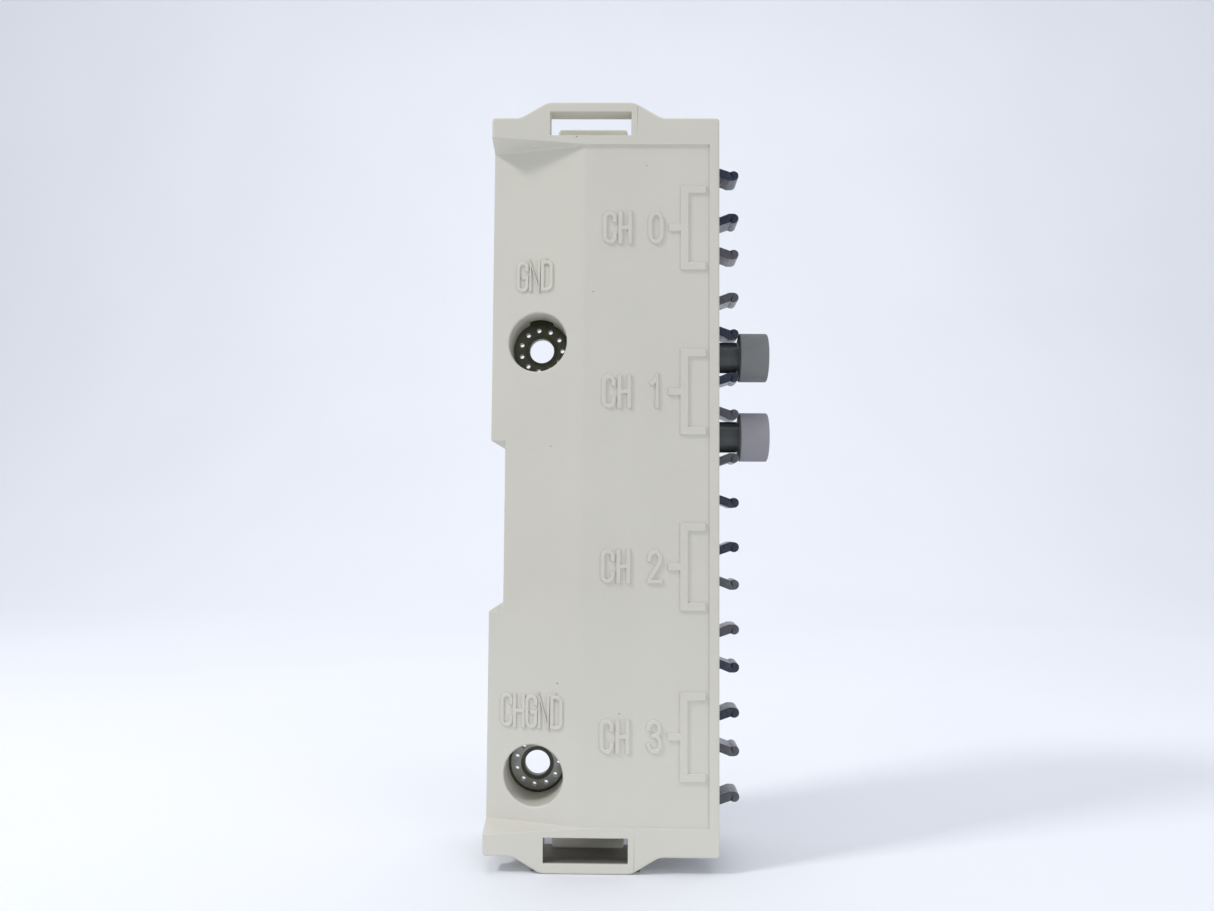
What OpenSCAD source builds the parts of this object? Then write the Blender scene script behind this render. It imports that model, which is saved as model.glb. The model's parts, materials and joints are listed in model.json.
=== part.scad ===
// Four-channel optical-fibre plug-in module: a moulded cover and frame around one circuit board.
// +X points out of the fibre ports, +Y goes into the module from its face, and +Z is up.
// The origin is under the middle of the end tabs, on the standing plane and in the plane of the face.

/* [Housing] */
// Height over both end tabs
module_h = 129.2; // [127:0.1:132]
// Height of the face flange beside the tabs
flange_h = 123.7; // [122:0.1:125]
// Height of the housing walls behind the flange
body_h = 117.6; // [116:0.1:118]
// Left edge of the housing, measured from the middle of the tabs
left_w = 16.9; // [16:0.1:19]
// Right edge of the housing, measured from the middle of the tabs
right_w = 21.95; // [21.5:0.05:24]
// Depth of the front cover
cover_d = 13.4; // [13.4:0.1:15]
// Depth of the whole housing
module_d = 24.1; // [22:0.1:28]
// Thickness of the moulded walls
wall = 1.8; // [1.6:0.1:2]
// Thickness of the face
face_t = 2; // [1.6:0.1:2.2]
// Thickness of the flange at the two ends
end_plate_t = 3.6; // [3:0.1:4.5]

/* [End tabs] */
// Width of the flat end of a tab
tab_flat_w = 14.9; // [14:0.1:17]
// Width of a tab where it leaves the flange
tab_base_w = 24.2; // [22:0.1:26]
// Width of the slot in a tab
slot_w = 13.9; // [12:0.1:14]
// Height of the slot in a tab
slot_h = 4.1; // [3.5:0.1:4.1]
// Width of a rear tongue at its root
tongue_root_w = 13.2; // [13.1:0.1:14]
// Width of a rear tongue at its flat end
tongue_flat_w = 12.6; // [11:0.1:13]
// Thickness of a rear tongue
tongue_t = 3.6; // [3:0.1:5]

/* [Face] */
// Left edge of the flat panel, where the incline begins
fold_x = -1; // [-3:0.1:1]
// Right edge of the flat panel
panel_x = 20.3; // [19:0.1:20.4]
// Height of the flat panel
panel_h = 114.3; // [113:0.1:116]
// Depth of the flat panel below the flange
panel_recess = 0.35; // [0.2:0.05:0.5]
// Depth of the incline at the left edge
incline_drop = 4.6; // [3:0.1:5]
// Height of the incline's opening at the left edge
incline_h = 116.7; // [116:0.1:117]
// How far each end wall of the incline leans inward at the left edge
incline_lean = 1.4; // [0.6:0.1:1.6]

/* [Edge notch] */
// Depth of the notch in the left edge
notch_d = 2.5; // [1.5:0.1:3]
// Lower end of the notch
notch_z0 = 42.2; // [40:0.1:45]
// Upper end of the notch
notch_z1 = 71.25; // [68:0.05:74]

/* [Screw wells] */
// Sideways place of both wells
well_x = -8.9; // [-9:0.1:-8]
// Height of the lower well
lower_well_z = 15.2; // [15:0.1:17]
// Height of the upper well
upper_well_z = 88.1; // [86:0.1:90]
// Radius of a well
well_r = 5.05; // [4.8:0.05:5.1]
// Radius of the screw hole in the board
screw_r = 2.2; // [2:0.05:2.4]

/* [Circuit board] */
// Thickness of the board
board_t = 1.6; // [1:0.1:1.6]
// Number of through vias round each screw hole
via_count = 11; // [8:1:12]
// Radius of the ring of vias
via_ring_r = 3.7; // [3.5:0.1:4]

/* [Fibre ports] */
// Spacing of neighbouring ports
port_pitch = 14; // [13.8:0.05:14.1]
// Extra gap between the upper four ports and the lower four
middle_gap = 1.3; // [1:0.1:2]
// Height of the lowest port
port_z0 = 15.1; // [14.8:0.1:15.6]
// Depth of the fibre axis behind the face
port_y = 8.2; // [8.1:0.1:8.4]
// Width of a port housing
port_w = 10.2; // [9.8:0.1:10.2]
// Radius of the fibre socket
socket_r = 2.85; // [2.8:0.05:2.9]
// Depth of the fibre socket
socket_d = 6.8; // [6:0.1:8]

/* [Dust plugs] */
// Diameter of a plug's cap
cap_dia = 8.5; // [8:0.1:9]
// Length of a plug's cap
cap_l = 5.1; // [4:0.1:6]
// Diameter of a plug's stem
stem_dia = 5.4; // [5:0.1:5.5]
// Length of a plug's stem
stem_l = 10.4; // [8:0.1:12]

/* [Hidden] */
$fn = 48;

housing_grey = [0.78, 0.775, 0.74];
receiver_navy = [0.15, 0.18, 0.24];
transmitter_grey = [0.32, 0.33, 0.36];
plug_grey = [0.46, 0.46, 0.46];
board_green = [0.12, 0.17, 0.08];
tin = [0.72, 0.72, 0.7];
chip_black = [0.07, 0.07, 0.08];

mid_z = module_h / 2;
flange_z0 = mid_z - flange_h / 2;
flange_z1 = mid_z + flange_h / 2;
body_z0 = mid_z - body_h / 2;
body_z1 = mid_z + body_h / 2;
panel_z0 = mid_z - panel_h / 2;
panel_z1 = mid_z + panel_h / 2;
notch_x = notch_d - left_w;
incline_slope = (incline_drop - panel_recess) / (left_w + fold_x);
tongue_rise = 0.4;                      // how far the upper tongue stands past the tab
clear = 1;                              // how far a cutter reaches past the surface it cuts

board_y0 = cover_d - board_t;           // front of the board
board_gap = 0.3;                        // between the board's edge and the walls
land_t = 0.1;
land_r = 4.6;
well_wall = 1.5;

// Ports are counted from the top, and receivers and transmitters alternate.
function port_z(i) = port_z0 + (7 - i) * port_pitch + (i < 4 ? middle_gap : 0);
port_count = 8;
socket_x = 20.3;                        // front of the port housings
port_back = 13.3;                       // length of a port housing behind its front
port_front_h = 3.6;                     // from the fibre axis toward the face
port_board_h = board_y0 - port_y;       // from the fibre axis back to the board
lead_pitch = 2.54;
lead_w = 0.5;
lead_run = 1.6;                         // how far the leads stand behind the housing
post_x = -3.5;
post_z = 3.8;
post_r = 0.75;
claw_l = 5.5;
claw_w = 5.5;
claw_r = [3.55, 5.08];                  // inner and outer distance of a claw's root from the fibre axis
claw_bend_x = 2.3;                      // where a claw starts to lean inward
claw_neck = [4.46, 4.05];
bead_r = 0.87;
bead_centre = [3.8, claw_l - bead_r];
lens_r = 1.1;
lens_seat_r = 1.5;
plug_ports = [2, 3];                    // the two ports that hold a dust plug
cap_x = 26;

hook_w = 6;
hook_t = 1.2;
hook_reach = 5.6;                       // how far a snap hook stands in front of the frame
hook_barb = 0.7;
hook_places = [[-left_w + wall, 104, 0], [-left_w + wall, 33, 0],
    [8, body_z1 - wall, 90], [8, body_z0 + wall, -90]];

connector_x = -4;
connector_z = 53.8;
connector_size = [8.4, 8.2, 58];
contact_count = 20;
contact_pitch = 2.54;

// ---- Drawing helpers ----

// A block between two corners, given as ranges along X, Y and Z
module block(x, y, z)
    translate([x[0], y[0], z[0]]) cube([x[1] - x[0], y[1] - y[0], z[1] - z[0]]);

// An outline in X and Z, given a thickness along Y
module slab(y0, y1)
    translate([0, y1, 0]) rotate([90, 0, 0]) linear_extrude(y1 - y0) children();

// A round bar along Y
module y_bar(x, z, y0, y1, r)
    translate([x, y1, z]) rotate([90, 0, 0]) cylinder(h = y1 - y0, r = r);

// A round bar along X
module x_bar(x0, x1, r)
    translate([x0, 0, 0]) rotate([0, 90, 0]) cylinder(h = x1 - x0, r = r);

// A shape turned about X, from an outline of radius and X
module turned_about_x()
    rotate([0, 90, 0]) rotate_extrude() children();

function unit(v) = v / norm(v);

// The arc that rounds corner q, between its neighbours p and s
function fillet(p, q, s, r, n = 5) = r == 0 ? [q] :
    let (a = unit(p - q), b = unit(s - q), half = acos(a * b) / 2,
        c = q + unit(a + b) * r / sin(half),
        u = q + a * r / tan(half) - c, v = q + b * r / tan(half) - c, w = 180 - 2 * half)
    [for (i = [0:n]) c + (sin((1 - i / n) * w) * u + sin(i / n * w) * v) / sin(w)];

// A closed outline with corner i rounded to radius radii[i]
function rounded(path, radii) = [for (i = [0:len(path) - 1]) each
    fillet(path[(i + len(path) - 1) % len(path)], path[i], path[(i + 1) % len(path)], radii[i])];

// The corners of a rectangle between two ranges
function corners(x, z) = [[x[0], z[0]], [x[1], z[0]], [x[1], z[1]], [x[0], z[1]]];

// ---- Housing ----

// The face's outline, with both tabs and the edge notch
function flange_outline() = rounded(
    [[-left_w, flange_z0], [-tab_base_w / 2, flange_z0], [-tab_flat_w / 2, 0], [tab_flat_w / 2, 0],
     [tab_base_w / 2, flange_z0], [right_w, flange_z0], [right_w, flange_z1], [tab_base_w / 2, flange_z1],
     [tab_flat_w / 2, module_h], [-tab_flat_w / 2, module_h], [-tab_base_w / 2, flange_z1],
     [-left_w, flange_z1], [-left_w, notch_z1], [notch_x, notch_z1],
     [notch_x, notch_z0], [-left_w, notch_z0]],
    [0.6, 3, 3, 3, 3, 0.6, 0.6, 3, 3, 3, 3, 0.6, 0, 0, 0, 0]);

// The walls' outline, drawn in by a distance from the outside
function body_outline(inset) =
    [[inset - left_w, body_z0 + inset], [right_w - inset, body_z0 + inset],
     [right_w - inset, body_z1 - inset], [inset - left_w, body_z1 - inset],
     [inset - left_w, notch_z1 + inset], [notch_x + inset, notch_z1 + inset],
     [notch_x + inset, notch_z0 - inset], [inset - left_w, notch_z0 - inset]];

function incline_y(x) = panel_recess + (fold_x - x) * incline_slope;

// Height above the middle of the incline's end wall, which leans inward and meets the panel's corner
function incline_end(x, y) = panel_h / 2
    + (incline_h / 2 - panel_h / 2 - incline_lean * panel_recess / incline_drop)
        * (fold_x - x) / (left_w + fold_x)
    - incline_lean * (y - panel_recess) / incline_drop;

// The wedge that the sloping part of the face leaves open
module incline_cut() {
    far_x = -left_w - clear;
    section = [[fold_x, panel_recess], [fold_x, -clear], [far_x, -clear], [far_x, incline_y(far_x)]];
    half = [for (p = section) p.x == fold_x ? panel_h / 2 : incline_end(p.x, p.y)];
    polyhedron([for (end = [1, -1], k = [0:3]) [section[k].x, section[k].y, mid_z + end * half[k]]],
        [[0, 1, 2], [0, 2, 3], [6, 5, 4], [7, 6, 4], [0, 4, 5, 1], [1, 5, 6, 2], [2, 6, 7, 3], [3, 7, 4, 0]]);
}

// The hollow inside the cover, open at the back
module cover_cavity() {
    left = wall - left_w;
    right = right_w - wall;
    back = cover_d + clear;
    difference() {
        translate([0, 0, body_z0 + wall]) linear_extrude(body_h - 2 * wall)
            polygon([[left, incline_y(left) + face_t], [fold_x, panel_recess + face_t],
                [right, panel_recess + face_t], [right, back], [left, back]]);
        block([-left_w - clear, notch_x + wall], [0, back + clear], [notch_z0 - wall, notch_z1 + wall]);
    }
}

module end_slot(z)
    block([-slot_w / 2, slot_w / 2], [-clear, end_plate_t + clear], [z - slot_h / 2, z + slot_h / 2]);

module front_cover() color(housing_grey) {
    slot_offset = body_h / 2 + slot_h / 2;
    window_h = port_w + 0.4;
    window_y = port_y - port_front_h - 0.3;
    relief_w = 4.2;
    relief_d = 2.8;
    difference() {
        union() {
            difference() {
                union() {
                    slab(0, end_plate_t) polygon(flange_outline());
                    slab(end_plate_t, cover_d) polygon(body_outline(0));
                }
                cover_cavity();
            }
            for (z = [lower_well_z, upper_well_z])
                y_bar(well_x, z, panel_recess + 0.6, board_y0, well_r + well_wall);
        }
        incline_cut();
        block([fold_x, panel_x], [-clear, panel_recess], [panel_z0, panel_z1]);
        for (end = [-1, 1]) end_slot(mid_z + end * slot_offset);
        for (z = [lower_well_z, upper_well_z]) y_bar(well_x, z, -clear, cover_d, well_r);
        // relief at the foot of the upper well
        block([well_x - relief_w / 2, well_x + relief_w / 2], [board_y0 - relief_d, cover_d],
            [upper_well_z + 3.8, upper_well_z + 7]);
        for (i = [0:port_count - 1])
            block([right_w - wall - clear, right_w + clear], [window_y, cover_d + clear],
                [port_z(i) - window_h / 2, port_z(i) + window_h / 2]);
        for (p = hook_places) place_hook(p) hook_pocket();
    }
}

// ---- Snap hooks that join the frame to the cover ----

// Hooks are drawn facing -X, with the wall's inner face at X = 0
module place_hook(p)
    translate([p[0], 0, p[1]]) rotate([0, p[2], 0]) children();

module snap_hook() {
    tip_y = cover_d - hook_reach;
    root_y = cover_d + 1.5;
    face_x = 0.1;
    barb_x = face_x - hook_barb;
    translate([0, 0, -hook_w / 2]) linear_extrude(hook_w)
        polygon([[face_x, root_y], [face_x, tip_y + 2], [barb_x, tip_y + 2], [barb_x, tip_y + 1.6],
            [0.3, tip_y], [face_x + hook_t, tip_y], [face_x + hook_t, root_y]]);
}

module hook_pocket()
    block([-hook_barb - 0.2, clear], [cover_d - hook_reach - 0.2, cover_d - hook_reach + 2.2],
        [-hook_w / 2 - 0.2, hook_w / 2 + 0.2]);

module rear_frame() color(housing_grey) {
    ledge_w = 1.5;
    ledge_t = 1.6;
    rib_w = 2.4;
    rib_d = 3;
    difference() {
        slab(cover_d, module_d) polygon(body_outline(0));
        slab(cover_d - clear, module_d + clear) polygon(body_outline(wall + ledge_w));
        slab(cover_d + ledge_t, module_d + clear) polygon(body_outline(wall));
    }
    for (end = [-1, 1]) {
        tip_z = end > 0 ? -tongue_rise : 0;
        slab(cover_d, cover_d + tongue_t) translate([0, mid_z]) scale([1, -end]) translate([0, -mid_z])
            polygon(rounded([[-tongue_root_w / 2, body_z0 + 0.9], [-tongue_root_w / 2, body_z0],
                [-tongue_flat_w / 2, tip_z], [tongue_flat_w / 2, tip_z],
                [tongue_root_w / 2, body_z0], [tongue_root_w / 2, body_z0 + 0.9]], [0, 0, 0.6, 0.6, 0, 0]));
    }
    for (z = [21.5, 99.5])
        block([1 - left_w, right_w - 1], [module_d - rib_d, module_d], [z - rib_w / 2, z + rib_w / 2]);
    for (p = hook_places) place_hook(p) snap_hook();
}

// ---- Circuit board ----

module at_ports() for (i = [0:port_count - 1]) translate([socket_x, 0, port_z(i)]) children();

module vias(z) for (k = [0:via_count - 1]) rotate_about_well(z, 360 * k / via_count)
    y_bar(via_ring_r, 0, board_y0 - clear, cover_d + clear, 0.4);

module rotate_about_well(z, a) translate([well_x, 0, z]) rotate([0, a, 0]) children();

module main_board() color(board_green) difference() {
    slab(board_y0, cover_d) polygon(body_outline(wall + board_gap));
    for (z = [lower_well_z, upper_well_z]) {
        y_bar(well_x, z, board_y0 - clear, cover_d + clear, screw_r);
        vias(z);
    }
    for (p = hook_places) place_hook(p)
        block([-clear, hook_t + 0.4], [board_y0 - clear, cover_d + clear],
            [-hook_w / 2 - 0.3, hook_w / 2 + 0.3]);
    at_ports() {
        for (side = [-1, 1]) y_bar(post_x, side * post_z, board_y0 - clear, cover_d + clear, post_r + 0.1);
        for (k = [-1.5:1.5])
            y_bar(-port_back - lead_run, k * lead_pitch, board_y0 - clear, cover_d + clear, 0.45);
    }
}

// Tinned rings on both sides of the board, which carry the screws' earth contact
module screw_lands() color(tin)
    for (z = [lower_well_z, upper_well_z], y = [board_y0 - land_t, cover_d]) difference() {
        y_bar(well_x, z, y, y + land_t, land_r);
        y_bar(well_x, z, y - clear, y + clear, screw_r + 0.7);
        for (k = [0:via_count - 1]) rotate_about_well(z, 360 * k / via_count)
            y_bar(via_ring_r, 0, y - clear, y + clear, 0.4);
    }

// ---- Fibre ports ----

// Receivers are the even ports from the top, transmitters the odd ones
module at_port(i) translate([socket_x, port_y, port_z(i)]) children();

// Half of the latch: one springy claw with a round bead at its tip, as distances from the fibre axis and X
function claw_outline() = concat(
    [[claw_r[0], -0.8], [claw_r[1], -0.8], [claw_r[1], claw_bend_x], claw_neck],
    [for (a = [-35:27:181]) bead_centre + bead_r * [cos(a), sin(a)]],
    [[bead_centre.x - bead_r, claw_neck.y - 0.2], [claw_r[0], claw_bend_x]]);

module port_housing() {
    step_x = -port_back + 3.2;
    half_w = port_w / 2;
    groove_x = [-8.6, -7.7];
    difference() {
        union() {
            block([step_x, 0], [-port_front_h, port_board_h], [-half_w, half_w]);
            block([-port_back, step_x + 0.2], [-port_front_h + 0.7, port_board_h],
                [-half_w + 0.5, half_w - 0.5]);
        }
        x_bar(-socket_d, clear, socket_r);
        x_bar(-socket_d - 1.6, 0, lens_seat_r);
        // grooves that part the latch frame from the rear block
        for (side = [-1, 1])
            block(groove_x, [-port_front_h - clear, port_board_h + clear],
                side > 0 ? [half_w - 0.6, half_w + clear] : [-half_w - clear, 0.6 - half_w]);
        block(groove_x, [-port_front_h - clear, 0.5 - port_front_h], [-half_w - clear, half_w + clear]);
    }
    for (side = [-1, 1])
        slab(-claw_w / 2, claw_w / 2) polygon([for (p = claw_outline()) [p.y, side * p.x]]);
    for (side = [-1, 1])
        y_bar(post_x, side * post_z, port_board_h - 0.5, port_board_h + board_t + 0.9, post_r);
}

// Four bent leads, from the housing's rear face down through the board
module port_leads() color(tin) for (k = [-1.5:1.5]) translate([-port_back, 0, k * lead_pitch - lead_w / 2]) {
    tail_y = port_board_h + board_t + 1.5;
    h = lead_w / 2;
    linear_extrude(lead_w) polygon([[0, -h], [0, h], [h - lead_run, h], [h - lead_run, tail_y],
        [-h - lead_run, tail_y], [-h - lead_run, -h]]);
}

// The clear window of the optical device, at the bottom of the socket
module port_lens(shade) color(shade) translate([-socket_d - 0.8, 0, 0]) turned_about_x()
    polygon(concat([[0, -0.8], [lens_seat_r, -0.8], [lens_seat_r, 0], [lens_r, 0]],
        [for (a = [0:18:90]) [lens_r * cos(a), 0.8 * sin(a)]]));

module receiver(n) color(receiver_navy) at_port(2 * n - 2) port_housing();
module transmitter(n) color(transmitter_grey) at_port(2 * n - 1) port_housing();

// ---- Dust plugs ----

module dust_plug(n) color(plug_grey) at_port(plug_ports[n - 1]) translate([cap_x - socket_x, 0, 0])
    turned_about_x() polygon(rounded(
        [[0, cap_l], [cap_dia / 2, cap_l - 0.2], [cap_dia / 2, 0], [stem_dia / 2, 0],
         [stem_dia / 2, -stem_l], [1.7, -stem_l], [1.7, -0.6], [0, -0.6]],
        [0, 0.3, 0.2, 0, 0.4, 0.2, 0, 0]));

// ---- Host connector, on the back of the board ----

module host_connector() color(chip_black) translate([connector_x, cover_d, connector_z]) difference() {
    size = connector_size;
    block([-size.x / 2, size.x / 2], [0, size.y], [-size.z / 2, size.z / 2]);
    block([-2.6, 2.6], [1.4, size.y + clear], [3 - size.z / 2, size.z / 2 - 3]);
    for (end = [-1, 1])
        block([-1.6, 1.6], [1.4, size.y + clear], end > 0 ? [size.z / 2 - 3.2, size.z / 2 - 1.4]
            : [1.4 - size.z / 2, 3.2 - size.z / 2]);
}

// Two rows of contact blades along the socket's walls, with feet soldered to the board
module host_connector_contacts() color([0.8, 0.68, 0.35]) translate([connector_x, cover_d, connector_z])
    for (side = [0, 1], k = [0:contact_count - 1]) mirror([side, 0, 0])
        translate([0, 0, (k - (contact_count - 1) / 2) * contact_pitch]) {
            block([2.3, 2.6], [1.4, 7.4], [-0.4, 0.4]);
            block([connector_size.x / 2, connector_size.x / 2 + 1.3], [0, 0.25], [-0.4, 0.4]);
        }

// ---- Parts soldered to the front of the board ----

// A flat package standing on the front of the board, with its edges cut back
module chip_body(x, z, w, h, t) translate([x, board_y0, z])
    slab(-t, -0.1) polygon(rounded(corners([-w / 2, w / 2], [-h / 2, h / 2]), [0.4, 0.4, 0.4, 0.4]));

// A row of gull-wing leads along one side of a package
module lead_row(count, pitch, reach) for (k = [0:count - 1])
    translate([0, 0, (k - (count - 1) / 2) * pitch - pitch / 5]) linear_extrude(pitch * 0.4)
        polygon([[0, -1], [0, -0.8], [reach * 0.35, -0.8], [reach * 0.35, 0], [reach, 0], [reach, -0.2],
            [reach * 0.55, -0.2], [reach * 0.55, -1]]);

link_x = -5.6;
link_z = 57;
link_w = 10;
driver_places = [[-3, 103.5], [-3, 31.5]];
driver_w = 3.9;
driver_h = 8.7;

module link_chip() color(chip_black) chip_body(link_x, link_z, link_w, link_w, 1.7);

module link_chip_leads() color(tin) for (a = [0:90:270])
    translate([link_x, board_y0, link_z]) rotate([0, a, 0]) translate([link_w / 2, 0, 0])
        lead_row(11, 0.8, 1);

module driver_chips() color(chip_black) for (p = driver_places) chip_body(p.x, p.y, driver_w, driver_h, 1.6);

module driver_chip_leads() color(tin) for (p = driver_places, side = [0, 1])
    translate([p.x, board_y0, p.y]) mirror([side, 0, 0]) translate([driver_w / 2, 0, 0])
        lead_row(7, 1.27, 1.1);

// A metal can with round ends and a solder flange
module crystal() color(tin) translate([-5.5, board_y0, 43]) {
    slab(-0.5, 0) polygon(rounded(corners([-2.4, 2.4], [-5.6, 5.6]), [2.2, 2.2, 2.2, 2.2]));
    slab(-3.4, -0.5) polygon(rounded(corners([-2.1, 2.1], [-5.3, 5.3]), [2, 2, 2, 2]));
}

module bulk_capacitors() color([0.75, 0.5, 0.15]) for (p = [[-3.5, 116], [0.5, 22]])
    translate([p.x, board_y0, p.y]) block([-3.65, 3.65], [-2.9, 0], [-2.15, 2.15]);

// One two-terminal part per port, in a column beside the leads
module passives(x, w, t) for (i = [0:port_count - 1])
    translate([x, board_y0, port_z(i)]) block([-w / 2, w / 2], [-t, 0], [-0.6, 0.6]);

module bypass_capacitors() color([0.62, 0.5, 0.38]) passives(2.9, 2, 1.1);
module resistors() color(chip_black) translate([0, 0, 2.6]) passives(2.9, 2, 0.55);

front_cover();
rear_frame();
main_board();
screw_lands();
dust_plug(1);  // dust_plug_1
dust_plug(2);  // dust_plug_2
host_connector();
host_connector_contacts();
link_chip();
link_chip_leads();
driver_chips();
driver_chip_leads();
crystal();
bulk_capacitors();
bypass_capacitors();
resistors();
for (n = [1:4]) {
    receiver(n);
    transmitter(n);
    at_port(2 * n - 2) port_leads();
    at_port(2 * n - 1) port_leads();
    at_port(2 * n - 2) port_lens([0.1, 0.12, 0.16]);
    at_port(2 * n - 1) port_lens([0.75, 0.3, 0.25]);
}
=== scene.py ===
"""Looks of the optical fibre input/output module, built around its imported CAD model.

Lengths are written in millimetres and turned into metres by MM. The frame is the CAD's: +X out of the fibre
ports, +Y from the face into the module, +Z up.
"""

import json
import math

import bmesh
import bpy
from mathutils import Matrix, Vector


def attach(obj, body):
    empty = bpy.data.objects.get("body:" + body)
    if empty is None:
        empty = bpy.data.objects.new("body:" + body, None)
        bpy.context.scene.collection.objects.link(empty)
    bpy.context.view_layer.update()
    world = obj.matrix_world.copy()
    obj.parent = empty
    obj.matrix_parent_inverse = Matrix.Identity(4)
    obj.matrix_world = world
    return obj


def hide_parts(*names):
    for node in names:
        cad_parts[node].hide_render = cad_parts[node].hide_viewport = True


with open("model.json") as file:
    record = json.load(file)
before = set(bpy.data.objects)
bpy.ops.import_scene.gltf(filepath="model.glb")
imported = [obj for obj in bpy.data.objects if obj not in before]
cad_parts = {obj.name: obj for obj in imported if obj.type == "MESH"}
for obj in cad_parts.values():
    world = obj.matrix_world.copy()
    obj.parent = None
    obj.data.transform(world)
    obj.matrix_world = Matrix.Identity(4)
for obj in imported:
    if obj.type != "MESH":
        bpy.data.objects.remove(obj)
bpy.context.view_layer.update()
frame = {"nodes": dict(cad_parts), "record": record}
nodes = frame["nodes"]
MM = 0.001
PORT_COUNT = 4

# ---- The face, as the CAD makes it ----

FOLD_X = -1.0
PANEL_Y = 0.35
LEFT_X = -16.9
INCLINE_Y = 4.6
INCLINE_SLOPE = (INCLINE_Y - PANEL_Y) / (FOLD_X - LEFT_X)
PANEL_X1, PANEL_HALF = 20.3, 57.15
MID_Z = 64.6
WELL_X, WELL_R = -8.9, 5.05
WELL_Z = (15.2, 88.1)


def face_y(x):
    """Depth of the panel and the incline at x."""
    return PANEL_Y + max(0.0, FOLD_X - x) * INCLINE_SLOPE


# ---- Node helpers ----


def linear(rgb):
    """Linear RGBA from sRGB values of 0 to 255."""
    out = []
    for value in rgb:
        c = value / 255
        out.append(c / 12.92 if c <= 0.04045 else ((c + 0.055) / 1.055) ** 2.4)
    return (*out, 1.0)


class Shader:
    """A material under construction, with short calls for the nodes that it uses."""

    def __init__(self, name, roughness=0.5, metallic=0.0, specular=0.5):
        self.mat = bpy.data.materials.new(name)
        self.mat.use_nodes = True
        self.tree = self.mat.node_tree
        self.bsdf = self.tree.nodes["Principled BSDF"]
        self.bsdf.inputs["Roughness"].default_value = roughness
        self.bsdf.inputs["Metallic"].default_value = metallic
        self.bsdf.inputs["Specular IOR Level"].default_value = specular
        self.place = self.add("ShaderNodeTexCoord").outputs["Object"]

    def add(self, kind, **values):
        node = self.tree.nodes.new(kind)
        for key, value in values.items():
            setattr(node, key, value)
        return node

    def link(self, source, target):
        self.tree.links.new(source, target)

    def noise(self, scale, detail=2.0, stretch=(1, 1, 1)):
        tex = self.add("ShaderNodeTexNoise")
        tex.inputs["Scale"].default_value = scale
        tex.inputs["Detail"].default_value = detail
        tex.inputs["Roughness"].default_value = 0.5
        mapping = self.add("ShaderNodeMapping")
        mapping.inputs["Scale"].default_value = stretch
        self.link(self.place, mapping.inputs["Vector"])
        self.link(mapping.outputs["Vector"], tex.inputs["Vector"])
        return tex.outputs["Fac"]

    def ramp(self, source, low, high, to=(0.0, 1.0)):
        node = self.add("ShaderNodeMapRange")
        node.inputs["From Min"].default_value = low
        node.inputs["From Max"].default_value = high
        node.inputs["To Min"].default_value = to[0]
        node.inputs["To Max"].default_value = to[1]
        self.link(source, node.inputs["Value"])
        return node.outputs["Result"]

    def math(self, kind, a, b):
        node = self.add("ShaderNodeMath", operation=kind)
        for socket, value in zip(node.inputs, (a, b)):
            if isinstance(value, (int, float)):
                socket.default_value = value
            else:
                self.link(value, socket)
        return node.outputs[0]

    def mix(self, factor, a, b):
        node = self.add("ShaderNodeMix", data_type="RGBA")
        self.link(factor, node.inputs["Factor"])
        for key, value in (("A", a), ("B", b)):
            socket = [s for s in node.inputs if s.name == key and s.type == "RGBA"][0]
            if isinstance(value, tuple):
                socket.default_value = value
            else:
                self.link(value, socket)
        return [s for s in node.outputs if s.type == "RGBA"][0]

    def near(self, x, z, radius, y=None):
        """1 inside a soft spot round a place in millimetres, 0 outside."""
        node = self.add("ShaderNodeVectorMath", operation="MULTIPLY")
        node.inputs[1].default_value = (1, 0 if y is None else 1, 1)
        self.link(self.place, node.inputs[0])
        span = self.add("ShaderNodeVectorMath", operation="DISTANCE")
        self.link(node.outputs[0], span.inputs[0])
        span.inputs[1].default_value = (x * MM, (y or 0) * MM, z * MM)
        return self.ramp(span.outputs["Value"], radius * MM, radius * 0.45 * MM)

    def along(self, axis):
        """The place along an axis, in millimetres."""
        split = self.add("ShaderNodeSeparateXYZ")
        self.link(self.place, split.inputs[0])
        return self.math("DIVIDE", split.outputs[axis], MM)

    def inside(self, axis, low, high):
        """1 between two places along an axis, 0 outside, over a third of a millimetre."""
        at = self.along(axis)
        soft = 0.15
        rise = self.ramp(at, low - soft, low + soft)
        return self.math("MULTIPLY", rise, self.ramp(at, high + soft, high - soft))

    def edges(self, low, high):
        """Rises from 0 to 1 with the surface's convexity."""
        return self.ramp(self.add("ShaderNodeNewGeometry").outputs["Pointiness"], low, high)

    def source(self, name):
        """What feeds the surface's socket of this name."""
        return self.bsdf.inputs[name].links[0].from_socket

    def colour(self, source):
        self.link(source, self.bsdf.inputs["Base Color"])

    def rough(self, source):
        self.link(source, self.bsdf.inputs["Roughness"])

    def bump(self, source, depth_mm):
        node = self.add("ShaderNodeBump")
        node.inputs["Strength"].default_value = 1.0
        node.inputs["Distance"].default_value = depth_mm * MM
        before = self.bsdf.inputs["Normal"].links
        if before:
            self.link(before[0].from_socket, node.inputs["Normal"])
        self.link(source, node.inputs["Height"])
        self.link(node.outputs["Normal"], self.bsdf.inputs["Normal"])


WORN_FROM, WORN_FULL = 0.53, 0.6   # pointiness at which wear begins, and at which it is complete


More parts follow.
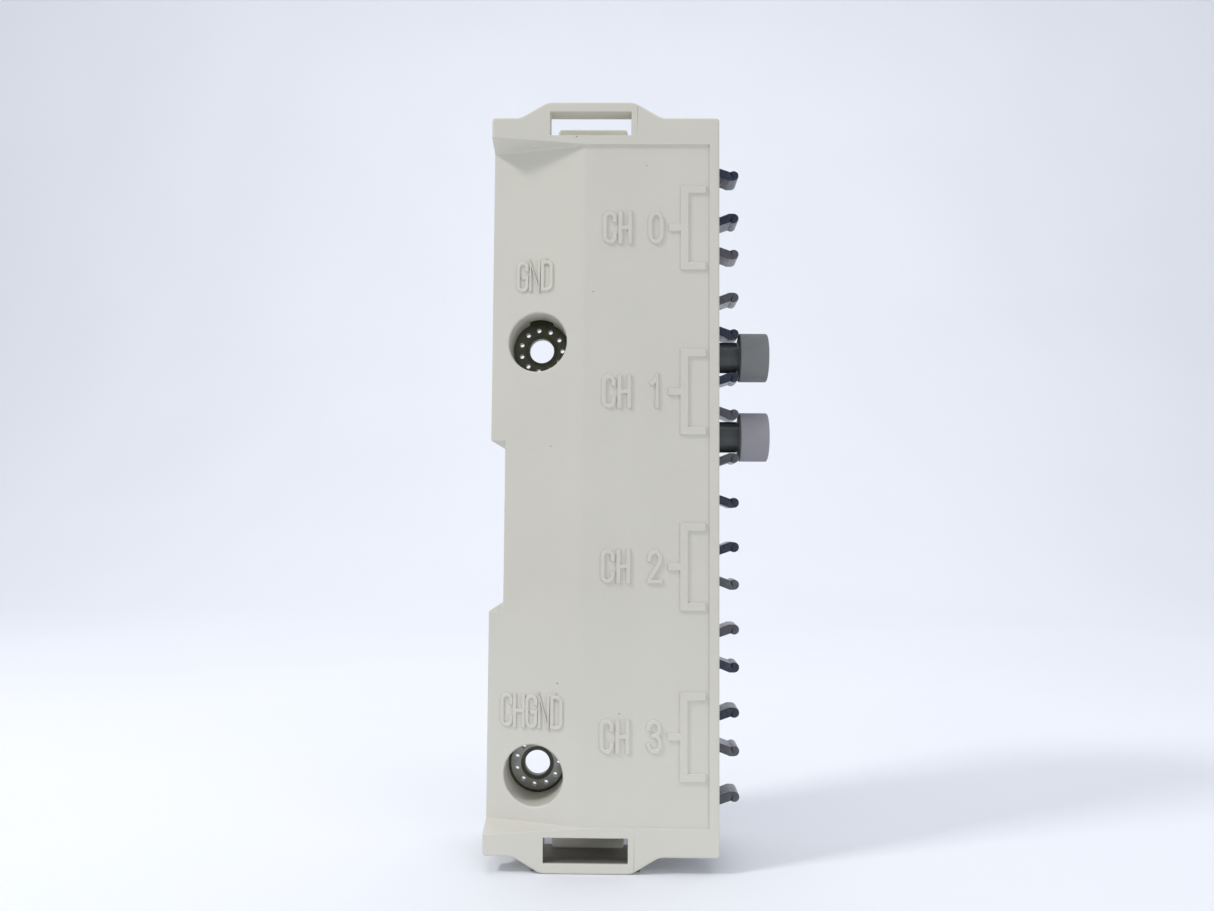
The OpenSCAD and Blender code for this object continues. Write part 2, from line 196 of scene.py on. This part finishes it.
def moulded(name, rgb, shade, roughness, grain, specular=0.4, worn=None):
    """Moulded plastic: slow colour drift, fine spark-eroded grain, paler edges where it is handled."""
    s = Shader(name, specular=specular)
    base = linear(rgb)
    dark = (*[c * shade for c in base[:3]], 1.0)
    colour = s.mix(s.ramp(s.noise(55, 3), 0.38, 0.62), dark, base)
    if worn:
        scuff = s.math("MULTIPLY", s.edges(WORN_FROM, WORN_FULL), s.ramp(s.noise(420, 3), 0.35, 0.7))
        colour = s.mix(scuff, colour, linear(worn))
    s.colour(colour)
    s.rough(s.ramp(s.noise(900, 2), 0.3, 0.7, (roughness - 0.05, roughness + 0.06)))
    s.bump(s.noise(3200, 2), grain)
    return s


# ---- Materials ----

LAND_SHADE_R = 12.0   # reaches over a screw land and stops short of the nearest lead

# Small dark marks on the housing, as x, z and radius
MARKS = [(-14.9, 61.6, 0.45), (-14.75, 59.4, 0.55), (-14.85, 57.9, 0.4), (-14.8, 62.6, 0.3),
         (-2.4, 123.1, 0.18), (-4.9, 30.6, 0.22), (5.4, 25.9, 0.2),
         (0.6, 96.4, 0.16), (-6.4, 70.2, 0.15), (9.6, 118.2, 0.14), (-12.6, 12.2, 0.2)]

MARK_STRENGTH = 0.75

# The lower end is painted a little paler as painted light bounced up from the floor, and painted shade lies
# inside the lower slot
BOUNCE_FROM_Z, BOUNCE_FULL_Z, BOUNCE_STRENGTH = 45, 2, 0.55
SLOT_SHADE_X, SLOT_SHADE_Y, SLOT_SHADE_Z, SLOT_SHADE_STRENGTH = (-7.2, 7.2), (0.5, 3.7), (1.5, 6.0), 0.8

housing = moulded("housing_plastic", (202, 200, 189), shade=0.975, roughness=0.46, grain=0.010, specular=0.35)
tint = housing.source("Base Color")
for mark_x, mark_z, mark_r in MARKS:
    mark_y = face_y(mark_x) if abs(mark_z - MID_Z) < PANEL_HALF else 0.0
    spot = housing.math("MULTIPLY", housing.near(mark_x, mark_z, mark_r, mark_y), MARK_STRENGTH)
    tint = housing.mix(spot, tint, linear((88, 84, 78)))
# painted light: the housing is coloured paler towards the floor, standing in for light bounced up from it
painted_bounce = housing.ramp(housing.along("Z"), BOUNCE_FROM_Z, BOUNCE_FULL_Z, (0.0, BOUNCE_STRENGTH))
tint = housing.mix(painted_bounce, tint, linear((222, 220, 212)))
# painted shade: the inner walls of the lower slot are coloured darker where shade falls in the recess
slot_shade = housing.math("MULTIPLY", housing.inside("X", *SLOT_SHADE_X), housing.inside("Z", *SLOT_SHADE_Z))
slot_shade = housing.math("MULTIPLY", slot_shade, housing.inside("Y", *SLOT_SHADE_Y))
tint = housing.mix(housing.math("MULTIPLY", slot_shade, SLOT_SHADE_STRENGTH), tint, linear((70, 66, 60)))
housing.colour(tint)

receiver = moulded("receiver_plastic", (34, 45, 66), shade=0.82, roughness=0.27, grain=0.006,
                   specular=0.5, worn=(88, 96, 112))
transmitter = moulded("transmitter_plastic", (82, 84, 90), shade=0.85, roughness=0.27, grain=0.006,
                      specular=0.5, worn=(128, 130, 136))

# The two plugs differ in tone; their stems are shinier than their caps, and are coloured darker as painted
# shade
PLUG_SPLIT_Z = 79.4
CAP_X = 26.0
STEM_POLISH = 0.38
rubber = moulded("plug_rubber", (119, 121, 121), shade=0.95, roughness=0.62, grain=0.010, specular=0.3)
tone = rubber.source("Base Color")
rubber_rough = rubber.source("Roughness")
lower_plug = rubber.ramp(rubber.along("Z"), PLUG_SPLIT_Z + 0.5, PLUG_SPLIT_Z - 0.5)
tone = rubber.mix(lower_plug, tone, linear((142, 141, 147)))
# painted shade: the stem's darker colour stands in for the shade of the cap and claws; its lower roughness is
# the plug's own gloss
stem_shade_and_gloss = rubber.ramp(rubber.along("X"), CAP_X - 0.02, CAP_X - 0.1)
rubber.colour(rubber.mix(stem_shade_and_gloss, tone, linear((72, 76, 77))))
rubber.rough(rubber.math("SUBTRACT", rubber_rough, rubber.math("MULTIPLY", stem_shade_and_gloss, STEM_POLISH)))

connector = moulded("connector_plastic", (30, 30, 32), shade=0.8, roughness=0.45, grain=0.012,
                    worn=(66, 66, 68))
epoxy = moulded("chip_epoxy", (34, 34, 36), shade=0.85, roughness=0.55, grain=0.01, worn=(70, 70, 72))
tantalum = moulded("capacitor_epoxy", (206, 152, 62), shade=0.9, roughness=0.4, grain=0.006,
                   worn=(228, 186, 110))
ceramic = moulded("capacitor_ceramic", (158, 128, 98), shade=0.88, roughness=0.5, grain=0.004,
                  worn=(190, 168, 140))


TARNISH = 0.8   # brightness of the tarnished patches


def metal(name, rgb, roughness, stretch=(1, 1, 1), grain=0.004):
    """Plated metal: patchy tarnish and fine drawing lines."""
    s = Shader(name, metallic=1.0)
    base = linear(rgb)
    dark = (*[c * TARNISH for c in base[:3]], 1.0)
    s.colour(s.mix(s.ramp(s.noise(260, 3), 0.35, 0.65), dark, base))
    s.rough(s.ramp(s.noise(700, 3), 0.3, 0.7, (roughness - 0.08, roughness + 0.12)))
    s.bump(s.noise(2600, 2, stretch), grain)
    return s


tin = metal("tinned_metal", (196, 194, 188), 0.34)
plating_and_shade = tin.source("Base Color")
# the screw lands are coloured darker as painted shade inside their wells, the upper one more than the lower
for land_z, land_shade_rgb in zip(reversed(WELL_Z), ((92, 92, 76), (146, 145, 138))):
    plating_and_shade = tin.mix(tin.near(WELL_X, land_z, LAND_SHADE_R), plating_and_shade, linear(land_shade_rgb))
tin.colour(plating_and_shade)
gold = metal("contact_plating", (214, 178, 98), 0.26)
can = metal("can_metal", (188, 187, 182), 0.3, (1, 1, 0.06), 0.006)

laminate = Shader("board_laminate", specular=0.55)
weave = laminate.noise(1500, 2, (1, 1, 0.12))
cross = laminate.noise(1500, 2, (0.12, 1, 1))
cloth = laminate.math("ADD", weave, cross)
laminate.colour(laminate.mix(laminate.ramp(cloth, 0.8, 1.2), linear((52, 56, 30)), linear((66, 70, 38))))
laminate.rough(laminate.ramp(laminate.noise(300, 2), 0.3, 0.7, (0.3, 0.42)))
laminate.bump(cloth, 0.008)

clear = Shader("lens_clear", roughness=0.08, specular=0.5)
clear.bsdf.inputs["Transmission Weight"].default_value = 0.9
clear.bsdf.inputs["IOR"].default_value = 1.5
cloud = clear.ramp(clear.noise(900, 2), 0.3, 0.7)
clear.colour(clear.mix(cloud, linear((176, 184, 190)), linear((214, 220, 224))))
clear.bump(clear.noise(2400, 2), 0.002)

MATERIALS = {"housing_plastic": housing, "receiver_plastic": receiver, "transmitter_plastic": transmitter,
             "plug_rubber": rubber, "connector_plastic": connector, "chip_epoxy": epoxy,
             "capacitor_epoxy": tantalum, "capacitor_ceramic": ceramic, "tinned_metal": tin,
             "contact_plating": gold, "can_metal": can, "board_laminate": laminate, "lens_clear": clear}


def repaint(obj, slot):
    obj.data.materials.clear()
    obj.data.materials.append(MATERIALS[slot].mat)


for part in frame["record"]["subparts"]:
    if part["node"] in nodes:
        repaint(nodes[part["node"]], part["material_slot"])

# ---- Rounded edges on the carried-over CAD nodes ----


SOFTEN_ANGLE = 32   # edges that turn more than this many degrees are softened


def soften(name, width):
    """Rounds a CAD node's sharp edges with modifiers, which leave its own mesh as it is."""
    obj = nodes[name]
    weld = obj.modifiers.new("weld", "WELD")
    weld.merge_threshold = 0.0005 * MM
    bevel = obj.modifiers.new("bevel", "BEVEL")
    bevel.width = width * MM
    bevel.segments = 2
    bevel.limit_method = "ANGLE"
    bevel.angle_limit = math.radians(SOFTEN_ANGLE)
    bevel.miter_outer = "MITER_ARC"
    bevel.harden_normals = True
    bevel.use_clamp_overlap = False
    normals = obj.modifiers.new("normals", "WEIGHTED_NORMAL")
    normals.keep_sharp = True


for n in range(1, PORT_COUNT + 1):
    soften(f"receiver_{n}", 0.12)
    soften(f"transmitter_{n}", 0.12)
for name in ("host_connector", "bulk_capacitors", "crystal"):
    soften(name, 0.15)
for name in ("link_chip", "driver_chips", "bypass_capacitors"):
    soften(name, 0.08)

# ---- The mouldings, with a radius of its own on each kind of edge ----

HOOK_X, HOOK_Z = 8.0, (33.0, 104.0)
FACE_R, FOLD_R, RIM_R, INCLINE_R, SLOT_R, STEP_R, INNER_R = 0.42, 0.35, 0.36, 0.13, 0.18, 0.09, 0.14
SHARP = 28.0             # least turn of an edge that is rounded, in degrees
SLOT_HALF_W = 7.1        # the end slots lie within this of the middle
SLOT_OFF = (58.7, 63.0)  # and between these distances from the middle of the height
REAR_RIM_Y = 24.0


def cover_radius(a, b, turn):
    """The rounding that an edge of the cover gets, from its ends in millimetres and its turn in degrees."""
    mid = (a + b) / 2
    off = abs(mid.z - MID_Z)
    if turn < SHARP:
        on_fold = abs(a.x - FOLD_X) < 0.01 and abs(b.x - FOLD_X) < 0.01 and mid.y < PANEL_Y + 0.05
        return FOLD_R if on_fold and turn > 8 and off < PANEL_HALF - 1 else 0.0
    for z in WELL_Z:
        if math.hypot(mid.x - WELL_X, mid.z - z) < WELL_R + 0.1 and mid.y < INCLINE_Y:
            return RIM_R
    if mid.y < 0.01:
        if abs(mid.x) < SLOT_HALF_W and SLOT_OFF[0] < off < SLOT_OFF[1]:
            return SLOT_R
        over_panel = FOLD_X < mid.x < PANEL_X1 and abs(off - PANEL_HALF) < 0.05
        if over_panel or abs(mid.x - PANEL_X1) < 0.02:
            return STEP_R
        return FACE_R if mid.x > FOLD_X or off > PANEL_HALF + 1 else INCLINE_R
    if abs(mid.y - PANEL_Y) < 0.02 and mid.x > FOLD_X - 0.1:
        return STEP_R
    if mid.x < FOLD_X and mid.y < INCLINE_Y + 0.05 and abs(mid.y - face_y(mid.x)) < 0.3:
        return INCLINE_R
    return INNER_R


def rear_radius(a, b, turn):
    """The rounding that an edge of the rear frame gets."""
    if turn < SHARP:
        return 0.0
    outside = min(a.y, b.y) > REAR_RIM_Y or abs((a.z + b.z) / 2 - MID_Z) > 58.9
    return FACE_R if outside else SLOT_R


def moulding(node, radius, planes):
    """A copy of a CAD node with its flat faces made whole and each edge rounded by its own radius.

    The planes, given as (axis, place), part every face that has a hole, because a face can't hold one.
    """
    bm = bmesh.new()
    bm.from_mesh(nodes[node].data)
    bmesh.ops.remove_doubles(bm, verts=bm.verts, dist=0.0005 * MM)
    for axis, place in planes:
        spot, normal = Vector((0, 0, 0)), Vector((0, 0, 0))
        spot[axis], normal[axis] = place * MM, 1
        geom = bm.verts[:] + bm.edges[:] + bm.faces[:]
        cut = bmesh.ops.bisect_plane(bm, geom=geom, dist=0.0002 * MM, plane_co=spot, plane_no=normal)
        for edge in cut["geom_cut"]:
            if isinstance(edge, bmesh.types.BMEdge):
                edge.seam = True
    bmesh.ops.dissolve_limit(bm, angle_limit=math.radians(0.3), verts=bm.verts, edges=bm.edges,
                             delimit={"SEAM"})
    bmesh.ops.recalc_face_normals(bm, faces=bm.faces)
    weights = bm.edges.layers.float.new("bevel_weight_edge")
    for edge in bm.edges:
        if len(edge.link_faces) == 2:
            a, b = (v.co / MM for v in edge.verts)
            edge[weights] = radius(a, b, math.degrees(edge.calc_face_angle(0))) / FACE_R
    mesh = bpy.data.meshes.new(node + "_moulding")
    bm.to_mesh(mesh)
    bm.free()
    mesh.materials.append(MATERIALS["housing_plastic"].mat)
    mesh.shade_smooth()
    obj = bpy.data.objects.new(mesh.name, mesh)
    bpy.context.scene.collection.objects.link(obj)
    bevel = obj.modifiers.new("bevel", "BEVEL")
    bevel.width = FACE_R * MM
    bevel.segments = 4
    bevel.limit_method = "WEIGHT"
    bevel.miter_outer = "MITER_ARC"
    bevel.harden_normals = True
    bevel.use_clamp_overlap = False
    obj.modifiers.new("normals", "WEIGHTED_NORMAL").keep_sharp = True
    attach(obj, "housing")
    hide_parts(node)


CUTS = [(0, WELL_X), (0, 0.0), (0, HOOK_X), *[(2, z) for z in (*WELL_Z, *HOOK_Z)]]
moulding("front_cover", cover_radius, CUTS)
moulding("rear_frame", rear_radius, [*CUTS, (2, MID_Z)])

# ---- Raised marks on the face ----

RISE = 0.33           # height of the marks over the face
SLOPE = 0.12          # width of a stroke's sloping side
CREASE_ANGLE = 35     # edges of a mark that turn more than this many degrees stay sharp


def arc(cx, cz, rx, rz, a0, a1, n=10):
    """Points on an ellipse from angle a0 to a1, in degrees, 0 along +X and 90 along +Z."""
    out = []
    for k in range(n + 1):
        a = math.radians(a0 + (a1 - a0) * k / n)
        out.append((cx + rx * math.cos(a), cz + rz * math.sin(a)))
    return out


def glyph(letter):
    """Strokes of a plain condensed character in a box 1 wide and 1 high, each as (points, closed)."""
    top, low = 0.84, 0.16
    bowl = [*arc(0.5, top, 0.5, 0.16, 0, 180), *arc(0.5, low, 0.5, 0.16, 180, 360)]
    if letter == "C":
        return [([(1, 0.74), *bowl, (1, 0.26)], False)]
    if letter == "G":
        return [([(1, 0.76), *bowl, (1, 0.47), (0.55, 0.47)], False)]
    if letter == "H":
        return [([(0, 0), (0, 1)], False), ([(1, 0), (1, 1)], False), ([(0, 0.5), (1, 0.5)], False)]
    if letter == "N":
        return [([(0, 0), (0, 1), (1, 0), (1, 1)], False)]
    if letter == "D":
        back = [*arc(0.45, top, 0.55, 0.16, 90, 0), *arc(0.45, low, 0.55, 0.16, 0, -90)]
        return [([(0, 0), (0, 1), (0.45, 1), *back], True)]
    if letter == "0":
        return [([*arc(0.5, 0.72, 0.5, 0.28, 0, 180, 14), *arc(0.5, 0.28, 0.5, 0.28, 180, 360, 14)], True)]
    if letter == "1":
        return [([(0.2, 0.78), (0.42, 0.84), (0.64, 1), (0.64, 0)], False)]
    if letter == "2":
        return [([(0.02, 0.74), *arc(0.5, 0.76, 0.46, 0.24, 165, 0), (0.9, 0.6), (0.04, 0.07), (0.04, 0),
                  (1, 0)], False)]
    return [([(0.02, 0.78), *arc(0.5, 0.77, 0.46, 0.23, 165, -90), (0.4, 0.54)], False),
            ([(0.4, 0.54), *arc(0.5, 0.275, 0.5, 0.265, 90, -165)], False)]


def sweep(bm, path, closed, width, slope, height):
    """A raised stroke with sloping sides and a rounded crest, laid on the face along a path of x and z."""
    foot, sink = width / 2 + slope, 0.05
    crest = width / 2
    profile = [(-foot, -sink), (-foot, 0.02), (-crest - slope * 0.25, height * 0.8), (-crest + 0.06, height),
               (crest - 0.06, height), (crest + slope * 0.25, height * 0.8), (foot, 0.02), (foot, -sink)]
    points = [Vector(p) for p in path]
    count = len(points)
    rings = []
    for k, point in enumerate(points):
        before = points[k - 1] if closed or k > 0 else None
        after = points[(k + 1) % count] if closed or k < count - 1 else None
        turns = [v.normalized() for v in ((point - before) if before is not None else None,
                                          (after - point) if after is not None else None) if v is not None]
        along = (turns[0] + turns[-1]).normalized()
        side = Vector((-along.y, along.x))
        stretch = min(1 / max(side.dot(Vector((-turns[0].y, turns[0].x))), 0.35), 2.2)
        ends = 0.0
        if not closed:
            ends = -foot if k == 0 else foot if k == count - 1 else 0.0
        ring = []
        for u, v in profile:
            # an end leans in towards its crest as the sides do
            lean = ends * (abs(ends) - max(v, 0) / height * slope) / foot if ends else 0.0
            at = point + side * (u * stretch) + along * lean
            ring.append(bm.verts.new((at.x * MM, (face_y(at.x) - v) * MM, at.y * MM)))
        rings.append(ring)
    pairs = list(zip(rings, rings[1:])) + ([(rings[-1], rings[0])] if closed else [])
    for a, b in pairs:
        for k in range(len(profile) - 1):
            bm.faces.new((a[k], a[k + 1], b[k + 1], b[k]))
        bm.faces.new((a[-1], a[0], b[0], b[-1]))
    if not closed:
        bm.faces.new(rings[0])
        bm.faces.new(rings[-1][::-1])


def finish_piece(bm, name, slot):
    bmesh.ops.recalc_face_normals(bm, faces=bm.faces)
    mesh = bpy.data.meshes.new(name)
    bm.to_mesh(mesh)
    bm.free()
    mesh.materials.append(MATERIALS[slot].mat)
    mesh.shade_smooth()
    obj = bpy.data.objects.new(name, mesh)
    bpy.context.scene.collection.objects.link(obj)
    mesh.set_sharp_from_angle(angle=math.radians(CREASE_ANGLE))
    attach(obj, "housing")
    return obj


def lettering(name, text, x0, z_mid, pitch, w, h, stroke, gap=None):
    """A word in raised strokes. gap is (place of the last character) where it stands apart."""
    bm = bmesh.new()
    for i, letter in enumerate(text):
        left = x0 + i * pitch if gap is None or i < len(text) - 1 else gap
        wide = w if gap is None or i < len(text) - 1 else w * 1.12
        for k, (points, closed) in enumerate(glyph(letter)):
            inset = stroke / 2
            path = [(left + inset + px * (wide - stroke), z_mid - h / 2 + inset + pz * (h - stroke))
                    for px, pz in points]
            sweep(bm, path, closed, stroke - 0.2, SLOPE, RISE + 0.003 * k)
    return finish_piece(bm, name, "housing_plastic")


CHANNEL_Z = [107.4, 79.4, 50.1, 22.2]
for channel, z in enumerate(CHANNEL_Z):
    lettering(f"channel_{channel}_label", f"CH{channel}", 2.15, z, 2.62, 2.42, 5.7, 0.78, gap=9.85)
    bm = bmesh.new()
    half, bar = 6.595, 1.42
    outline = [(19.0, z + half), (16.075, z + half), (16.075, z - half), (19.0, z - half)]
    sweep(bm, outline, False, bar - 0.2, SLOPE, RISE)
    sweep(bm, [(14.0, z), (15.6, z)], False, 1.1, SLOPE, RISE - 0.003)
    finish_piece(bm, f"channel_{channel}_bracket", "housing_plastic")
lettering("ground_label", "GND", -12.75, 99.5, 2.12, 2.2, 5.4, 0.68)
lettering("channel_ground_label", "CHGND", -14.65, 25.8, 2.13, 2.2, 5.65, 0.68)

# ---- Studio ----


def surface(name, build, mat):
    mesh = bpy.data.meshes.new(name)
    bm = bmesh.new()
    build(bm)
    bm.to_mesh(mesh)
    bm.free()
    mesh.materials.append(mat)
    mesh.shade_smooth()
    obj = bpy.data.objects.new(name, mesh)
    bpy.context.scene.collection.objects.link(obj)
    return obj


paper = Shader("paper", specular=0.2, roughness=0.75)
paper_tone = paper.ramp(paper.noise(6, 2), 0.35, 0.65)
paper.colour(paper.mix(paper_tone, linear((238, 241, 247)), linear((241, 243, 249))))
paper.bump(paper.noise(700, 2), 0.01)
# a painted contact shadow: the paper is coloured darker beneath the object, between its front tab and rear
# tongue
contact_shadow = paper.math("MULTIPLY", paper.inside("X", -9.0, 9.0), paper.inside("Y", 1.5, 16.0))
paper.colour(paper.mix(contact_shadow, paper.source("Base Color"), linear((150, 147, 142))))


def backdrop(bm):
    """A sheet that lies flat round the object and rises far behind it."""
    flat_to, bend, top, side, front = 0.42, 0.5, 1.2, 1.6, -1.2
    profile = [(front, 0.0), (0.0, 0.0), (flat_to, 0.0)]
    for k in range(1, 17):
        a = math.radians(90 * k / 16)
        profile.append((flat_to + bend * math.sin(a), bend - bend * math.cos(a)))
    profile.append((flat_to + bend, top))
    rows = [[bm.verts.new((x, y, z)) for x in (-side, side)] for y, z in profile]
    for a, b in zip(rows, rows[1:]):
        bm.faces.new((a[0], a[1], b[1], b[0]))


surface("backdrop", backdrop, paper.mat)

world = bpy.data.worlds.new("studio")
bpy.context.scene.world = world
world.use_nodes = True
sky = world.node_tree.nodes["Background"]
sky.inputs["Color"].default_value = (0.9, 0.93, 1.0, 1.0)
sky.inputs["Strength"].default_value = 0.5


def soft_light(name, place, target, size, power, colour=(1, 1, 1)):
    """A rectangular light in metres and watts, turned to face its target."""
    data = bpy.data.lights.new(name, "AREA")
    data.shape = "RECTANGLE"
    data.size, data.size_y = size
    data.energy = power
    data.color = colour
    obj = bpy.data.objects.new(name, data)
    obj.location = place
    obj.rotation_euler = (Vector(target) - Vector(place)).to_track_quat("-Z", "Y").to_euler()
    bpy.context.scene.collection.objects.link(obj)


centre = (0.0, 0.01, 0.065)
soft_light("key", (-0.418, -0.21, 0.512), centre, (0.1, 0.1), 1.65, (1.0, 0.985, 0.96))
soft_light("fill", (0.4, -0.5, 0.08), (0, 0.01, 0.0), (0.4, 0.14), 0.9, (1.0, 0.99, 0.98))
soft_light("top", (0.05, 0.1, 0.7), (0, 0.1, 0), (0.8, 0.6), 1.9)
soft_light("wall", (0, 0.35, 0.75), (0, 1.0, 0.35), (2.0, 0.4), 2.2)

# ---- Camera ----

camera_data = bpy.data.cameras.new("camera")
camera_data.sensor_width = 36
camera_data.lens = 30.5437
camera_data.clip_start = 0.005
camera = bpy.data.objects.new("camera", camera_data)
right = Vector((0.999872, 0.014532, 0.006694)).normalized()
up = Vector((-0.005759, -0.063457, 0.997968))
forward = -right.cross(up).normalized()
up = right.cross(forward).normalized()
camera.matrix_world = Matrix((
    (right.x, up.x, -forward.x, 5.702 * MM),
    (right.y, up.y, -forward.y, -171.952 * MM),
    (right.z, up.z, -forward.z, 57.651 * MM),
    (0, 0, 0, 1)))
bpy.context.scene.collection.objects.link(camera)
bpy.context.scene.camera = camera
bpy.context.scene.view_settings.view_transform = "Standard"

bpy.context.view_layer.update()
